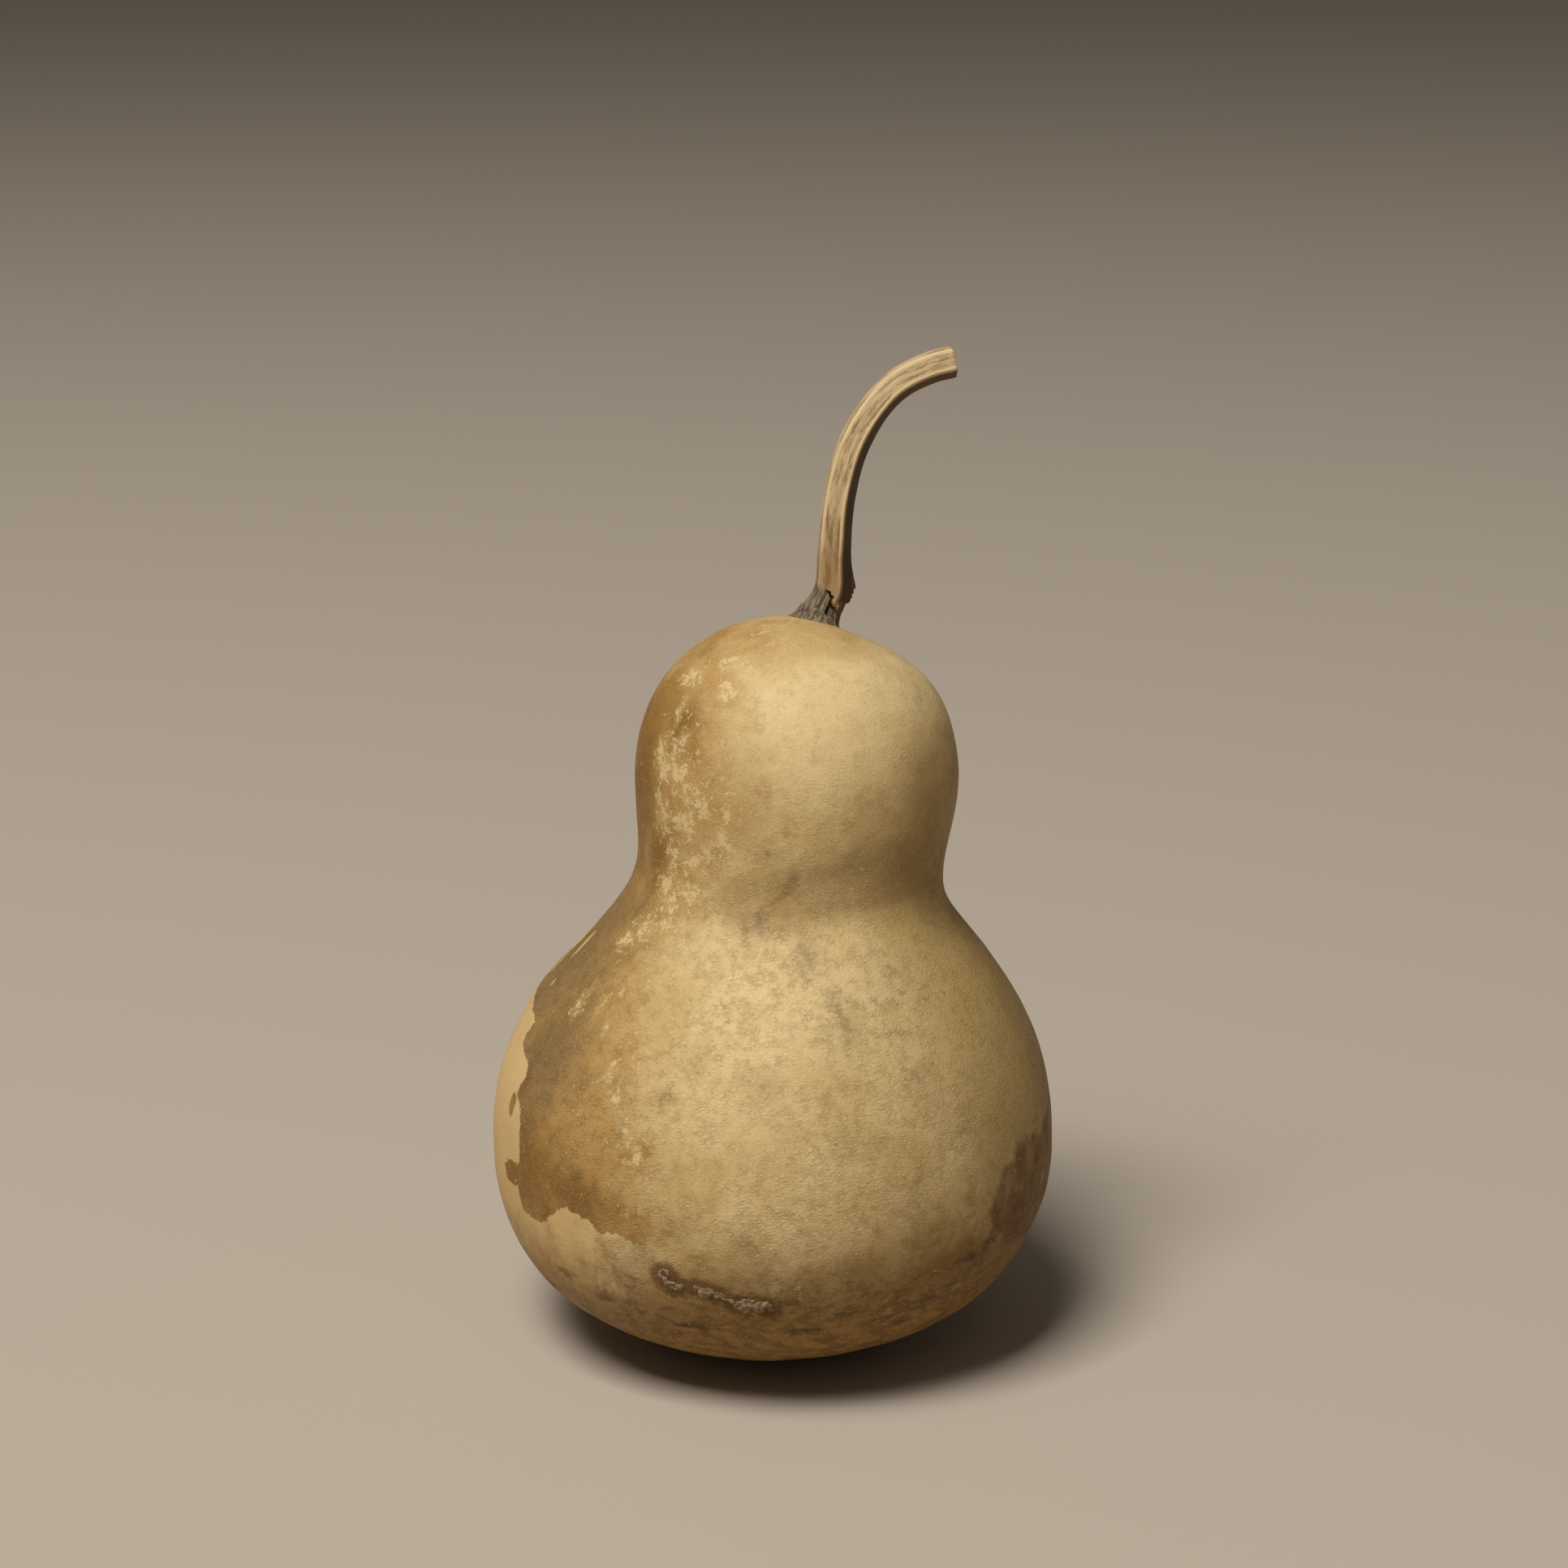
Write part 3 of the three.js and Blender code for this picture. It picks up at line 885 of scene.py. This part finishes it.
def stem_material(settings):
    shader = Shader("dry_stem_wood")
    straight = shader.field("straight", "Vector")

    def drawn_out(size, detail, roughness, along):
        """Noise in patches of a size, drawn out lengthwise where along is less than 1."""
        return shader.noise(size, detail, roughness, shader.stretch(straight, along))

    grain = drawn_out(0.22 * MM, 4, 0.65, 0.09)
    streaks = drawn_out(0.9 * MM, 4, 0.65, 0.11)
    mottle = drawn_out(0.5 * MM, 4, 0.7, 0.55)
    broad = drawn_out(9 * MM, 3, 0.6, 0.6)

    pale = (streaks * 2.6 + grain * 0.8 + mottle * 0.6 + broad + 0.6).rise(0.1, 0.9)
    ribs = (shader.field("rib") + streaks * 0.9 + mottle * 0.5 + grain * 0.3).rise(0.2, 0.85)
    warm = (shader.field("warm") + mottle * 0.9 + streaks * 0.5).rise(0.3, 0.9)
    rind = shader.layer(settings.furrow_dark, [
        (pale, settings.furrow),
        (ribs, settings.ridge),
        (warm * 0.6, settings.warm),
        # Painted shade on the faces right of the first rib.
        (shader.field("shaded") * 0.88, settings.foot_dark),
    ])
    foot = shader.mix((grain * 1.5 + streaks * 1.1 + 0.5).rise(0.2, 0.85),
                      settings.foot_dark, settings.foot)
    pith = shader.mix((mottle * 1.4 + 0.5).rise(0.2, 0.8), settings.furrow_dark, settings.furrow)
    colour = shader.layer(foot, [
        (shader.field("rind"), rind),
        (shader.field("frayed"), settings.ridge),
        # Painted shadow in the crack.
        (shader.field("crack"), settings.foot_dark),
        (shader.field("end"), pith),
    ])
    normal = shader.bump(grain * 0.8 + streaks + mottle * 0.8, settings.fibre_depth)
    return shader.finish(colour, 0.72 + streaks * 0.2, 0.3, normal)


class GOURD_OT_stem(bpy.types.Operator):
    """Makes the ribbed woody stem, with its dark foot and its broken rind"""

    bl_idname = "gourd.stem"
    bl_label = "Stem"

    SIDES = 200
    FINE_RINGS = 84  # up the lowest 10 mm
    COARSE_RINGS = 200  # up the rest
    CAP_RINGS = 12
    RINGS = 2 * CAP_RINGS + FINE_RINGS + COARSE_RINGS
    FOOT_TOP = 10
    TIP = STEM_OUTLINE[-1][1]
    MEAN_RADIUS = 3.5
    FOOT_RADIUS = 3.8
    FACE_REACH = 0.81  # a face's distance from the middle, as a share of a rib's
    SINK = 0.25  # millimetres by which the foot's edge lies in the skin
    SEAT = 1.6  # height of the part of the foot that spreads over the crown

    def execute(self, context):
        settings = context.scene.gourd_stem
        mesh = self.rolled_grid()
        turn, height, share = self.path(mesh)
        straight, fields = self.carve(turn, height, share, settings)
        places = bend_to_centre_line(straight + [0, 0, CROWN]) * MM
        places = self.seat(places, height)
        move_vertices(mesh, places)
        for name, values in fields.items():
            set_field(mesh, name, values)
        spot = mesh.attributes.new("straight", "FLOAT_VECTOR", "POINT")
        spot.data.foreach_set("vector", (straight * MM).astype(np.float32).ravel())
        self.close(mesh)
        stem = new_piece("stem_wood", mesh, stem_material(settings))
        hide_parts("stem")
        return {"FINISHED"}

    def rolled_grid(self):
        """A flat grid, from -1 to 1 each way: round the stem in x, and up it in y."""
        shape = bmesh.new()
        bmesh.ops.create_grid(shape, x_segments=self.SIDES, y_segments=self.RINGS, size=1)
        return mesh_from(shape, "stem_wood")

    def path(self, mesh):
        """Each vertex's turn, its height above the crown and its share of the stem's radius."""
        flat = vertex_places(mesh)
        turn = wrapped(180 * flat[:, 0])
        rings = np.linspace(-1, 1, self.RINGS + 1)
        cap = np.linspace(0, 1, self.CAP_RINGS + 1)
        low = np.linspace(0, self.FOOT_TOP, self.FINE_RINGS + 1)[1:]
        high = np.linspace(self.FOOT_TOP, self.TIP, self.COARSE_RINGS + 1)[1:]
        heights = np.concatenate([0 * cap, low, high, self.TIP + 0 * cap[1:]])
        shares = np.concatenate([cap, 1 + 0 * low, 1 + 0 * high, cap[::-1][1:]])
        height = np.interp(flat[:, 1], rings, heights)
        return turn, height, np.interp(flat[:, 1], rings, shares)

    def carve(self, turn, height, share, settings):
        """Places on the straight stem, in millimetres, and the fields of its material."""
        outline = smooth_line(STEM_OUTLINE, OUTLINE_STEPS)
        radius = np.interp(height, outline[:, 1], outline[:, 0])
        circle = np.stack([np.sin(np.radians(turn)), -np.cos(np.radians(turn))], axis=1)
        wall = np.column_stack([circle * self.MEAN_RADIUS, height])
        swell, rib = self.ribs(turn, height)
        fibres = drawn_noise(wall, 0.06, 0.8, 11) + 0.6 * drawn_noise(wall, 0.1, 0.4, 12)
        radius = radius * swell + 0.055 * fibres + 0.07 * drawn_noise(wall, 0.3, 2.4, 13)
        above, broken, rind = self.rind(turn, height, wall)
        crack = self.crack(turn, height, above, wall)
        lip = np.exp(-np.maximum(above, 0) / 2.4) * step_up(turn, 50, 100) * step_up(-turn, -175, -130)
        radius += broken * (rind - 1) * (settings.rind_depth / MM) + rind * lip * 1.1 - 0.85 * crack
        radius += self.foot(turn, height, above, wall)

        # The cut end, a little rounded at its rim and hollowed at its pith.
        from_tip = self.TIP - height
        cut = (height > self.TIP - 0.01) & (share < 1)
        rim = 1 - 0.05 * np.exp(-from_tip / 0.5) * (share == 1)
        straight = np.column_stack([circle * (radius * share * rim)[:, None], height])
        ragged = 0.22 * drawn_noise(straight, 0, 0.7, 19)
        bulge = 0.25 * (1 - share ** 2) - 0.45 * mound(share, 0, 0.4)
        straight[:, 2] += np.where(cut, bulge, 0) + ragged * np.exp(-from_tip / 1.2)
        return straight, {
            "rib": rib, "rind": rind, "crack": crack,
            "warm": 1 - step_up(height, 9, 26),
            # Painted shade on the faces right of the first rib, which turn away from the light.
            "shaded": step_up(turn, 27, 42) * (1 - step_up(turn, 130, 170)),
            "frayed": mound(turn, 40, 11) * (1 - step_up(above, 0.4, 1.6)) * rind,
            "end": cut * (1 - step_up(share, 0.72, 0.9)),
        }

    def ribs(self, turn, height):
        """The ribs' share in the radius, sharper than a pentagon's corners, and where they run."""
        twist = RIB_TURN + 3 * np.sin(height / 16)
        pitch = 360 / RIB_COUNT
        from_rib = (turn - twist + pitch / 2) % pitch - pitch / 2
        from_face = np.radians(pitch / 2 - np.abs(from_rib))
        reach = np.cos(np.radians(pitch / 2)) / np.cos(from_face)
        corner = (reach - self.FACE_REACH) / (1 - self.FACE_REACH)
        rib = mound(from_rib, 0, 10)
        ribbed = step_up(height, 1.5, 9)
        return 1 + ribbed * (0.15 * corner + 0.035 * rib - 0.085), rib * ribbed

    def rind(self, turn, height, wall):
        """The height above the rind's edge, where the edge is broken, and where the rind is."""
        jag = 0.3 * drawn_noise(wall, 0.35, 0.55, 14) + 0.25 * drawn_noise(wall, 0, 1.3, 15)
        above = height - (np.interp(turn, *np.array(RIND_EDGE).T, period=360) + jag)
        broken = step_up(turn, -28, -16) + step_up(-turn, 128, 140)
        rind = broken * step_up(above, -0.05, 0.1) + (1 - broken) * step_up(above, -1.8, 1)
        return above, broken, rind

    def crack(self, turn, height, above, wall):
        """The crack that opens under the rind's edge at the front, carved in and darkened with painted
        shadow.
        """
        gap = distance_to_lines((turn, height, self.FOOT_RADIUS), (CRACK, HOLLOW))
        width = 0.42 + 0.2 * noise_at(wall, 0.7, 16)
        crack = (above < 0) * (1 - step_up(gap, width * 0.6, width * 1.5))
        return crack * step_up(turn, -20, -14) * (1 - step_up(turn, 30, 50))

    def foot(self, turn, height, above, wall):
        """What the foot adds to the radius: coarse flutes, and an uneven spread over the crown."""
        footed = 1 - step_up(above, -3, 0.5)
        skirt = np.exp(-height / 0.9)
        flutes = 0.16 * drawn_noise(wall, 0.14, 0.75, 17)
        right_bulge = 0.5 * mound(wrapped(turn - 85), 0, 50)
        left_spread = 1.3 * mound(wrapped(turn + 80), 0, 45)
        spread = 0.9 * drawn_noise(wall, 0, 2.2, 18) + 0.35 + left_spread
        return footed * (flutes + right_bulge) + skirt * spread

    def seat(self, places, height):
        """Spreads the foot's edge over the fruit's skin, with no gap under it."""
        skin = skin_tree()
        for index in np.nonzero(height < self.SEAT)[0]:
            touch, normal, _, _ = skin.find_nearest(Vector(places[index]))
            gap = (Vector(places[index]) - touch).dot(normal)
            pull = (1 - height[index] / self.SEAT) * (gap + self.SINK * MM)
            places[index] -= np.array(normal) * pull
        return places

    def close(self, mesh):
        """Joins the grid's two long sides and the middles of its two ends."""
        shape = bmesh.new()
        shape.from_mesh(mesh)
        bmesh.ops.remove_doubles(shape, verts=shape.verts, dist=0.002 * MM)
        bmesh.ops.recalc_face_normals(shape, faces=shape.faces)
        shape.to_mesh(mesh)
        shape.free()


class GOURD_OT_stage(bpy.types.Operator):
    """Makes the pale floor, the soft light and the camera"""

    bl_idname = "gourd.stage"
    bl_label = "Stage"

    FLOOR_REACH = 12  # metres from the middle to each side
    SURROUND_COLOUR = (1, 0.94, 0.86, 1)
    LIGHT_PLACE = Vector((-0.9, -1.25, 2.9))
    LIGHT_TARGET = Vector((0, 0, 0.09))
    LIGHT_SIZE = 1.3
    CAMERA_TARGET = Vector((2.9, 6, 119.4)) * MM
    CAMERA_DISTANCE = 774.5 * MM

    def execute(self, context):
        settings = context.scene.gourd_stage
        self.make_floor(settings)
        self.make_surround(context.scene, settings)
        self.make_light(settings)
        self.make_camera(context.scene, settings)
        context.scene.view_settings.view_transform = "Standard"
        return {"FINISHED"}

    def make_floor(self, settings):
        shape = bmesh.new()
        bmesh.ops.create_grid(shape, x_segments=1, y_segments=1, size=self.FLOOR_REACH)
        mesh = mesh_from(shape, "floor")
        mesh.materials.append(Shader("pale_floor").finish((*settings.floor, 1), 0.9, 0.2))
        add_object("floor", mesh)

    def make_surround(self, scene, settings):
        scene.world = scene.world or bpy.data.worlds.new("surround")
        scene.world.use_nodes = True
        surround = scene.world.node_tree.nodes["Background"]
        surround.inputs["Color"].default_value = self.SURROUND_COLOUR
        surround.inputs["Strength"].default_value = settings.fill_power

    def make_light(self, settings):
        light = add_object("key", bpy.data.lights.new("key", "AREA"))
        light.data.energy = settings.key_power
        light.data.size = self.LIGHT_SIZE
        light.location = self.LIGHT_PLACE
        light.rotation_euler = (self.LIGHT_TARGET - self.LIGHT_PLACE).to_track_quat("-Z", "Y").to_euler()

    def make_camera(self, scene, settings):
        camera = add_object("camera", bpy.data.cameras.new("camera"))
        camera.data.lens = settings.lens
        back = Vector((0, -math.cos(settings.elevation), math.sin(settings.elevation)))
        camera.location = self.CAMERA_TARGET + back * self.CAMERA_DISTANCE
        camera.rotation_euler = (math.pi / 2 - settings.elevation, 0, 0)
        scene.camera = camera


class GOURD_PT_panel(bpy.types.Panel):
    """Lists the gourd's pieces and their settings"""

    bl_idname = "GOURD_PT_panel"
    bl_label = "Dried Gourd"
    bl_space_type = "VIEW_3D"
    bl_region_type = "UI"
    bl_category = "Gourd"

    def draw(self, context):
        for group, (settings, operators) in GROUPS.items():
            box = self.layout.box()
            for name in settings.__annotations__:
                box.prop(getattr(context.scene, group), name)
            for operator in operators:
                box.operator(operator)


# Each group of settings, and the operators that it is for.
GROUPS = {
    "gourd_fruit": (GourdFruitSettings, ["gourd.fruit", "gourd.scabs"]),
    "gourd_stem": (GourdStemSettings, ["gourd.stem"]),
    "gourd_stage": (GourdStageSettings, ["gourd.stage"]),
}
CLASSES = [
    *(settings for settings, _ in GROUPS.values()), GOURD_OT_fruit, GOURD_OT_scabs, GOURD_OT_stem,
    GOURD_OT_stage, GOURD_PT_panel,
]


def register():
    for item in CLASSES:
        bpy.utils.register_class(item)
    for name, (settings, _) in GROUPS.items():
        setattr(bpy.types.Scene, name, bpy.props.PointerProperty(type=settings))


def unregister():
    for name in GROUPS:
        delattr(bpy.types.Scene, name)
    for item in reversed(CLASSES):
        bpy.utils.unregister_class(item)


def main():
    register()
    bpy.ops.gourd.stage()
    bpy.ops.gourd.fruit()
    bpy.ops.gourd.scabs()
    bpy.ops.gourd.stem()


if __name__ == "__main__":
    main()
